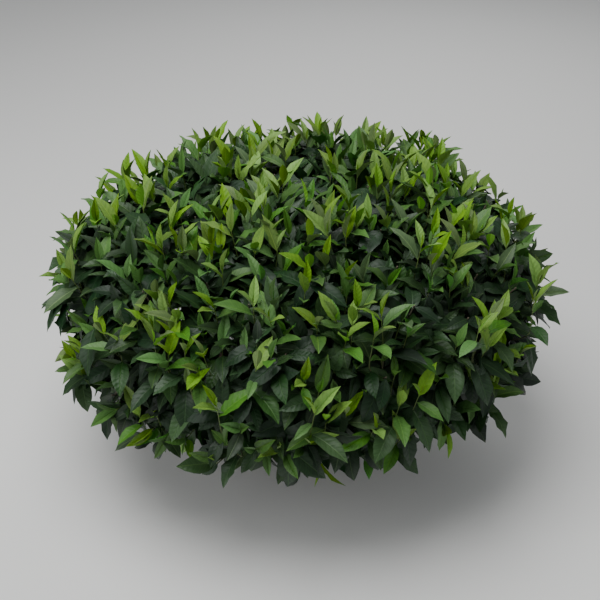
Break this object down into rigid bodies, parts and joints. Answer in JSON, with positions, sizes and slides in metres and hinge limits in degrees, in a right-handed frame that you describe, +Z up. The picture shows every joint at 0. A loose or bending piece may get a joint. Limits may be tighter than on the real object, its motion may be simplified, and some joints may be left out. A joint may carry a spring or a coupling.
{
  "type": "tea bush",
  "caption": "Tea bush kept low by plucking: a domed table of leafy masses on forking boughs and a short flared stem.",
  "frame": {"origin": "centre of the flat cut under the stem, at ground level", "axes": "+Z straight up out of the ground; +X across the bush as the picture shows it, its longest way; +Y away from the picture's camera"},
  "size_m": [1.2239, 1.1085, 0.7682],
  "materials": {
    "bark": "rough, fissured, grey-brown",
    "mature_leaf": "leathery, satin, deep green",
    "young_leaf": "soft, satin, yellow-green"
  },
  "bodies": {
    "root": {"stem": "bark", "main_bough_1": "bark", "main_bough_2": "bark", "main_bough_3": "bark", "main_bough_4": "bark", "side_bough_1a": "bark", "side_bough_1b": "bark", "side_bough_2a": "bark", "side_bough_2b": "bark", "side_bough_3a": "bark", "side_bough_3b": "bark", "side_bough_4a": "bark", "side_bough_4b": "bark", "top_bough_1": "bark", "top_bough_2": "bark", "top_bough_3": "bark", "top_bough_4": "bark", "top_mass_1": "young_leaf", "top_mass_2": "young_leaf", "top_mass_3": "young_leaf", "top_mass_4": "young_leaf", "side_mass_1a": "mature_leaf", "side_mass_1b": "mature_leaf", "side_mass_2a": "mature_leaf", "side_mass_2b": "mature_leaf", "side_mass_3a": "mature_leaf", "side_mass_3b": "mature_leaf", "side_mass_4a": "mature_leaf", "side_mass_4b": "mature_leaf"}
  },
  "joints": []
}
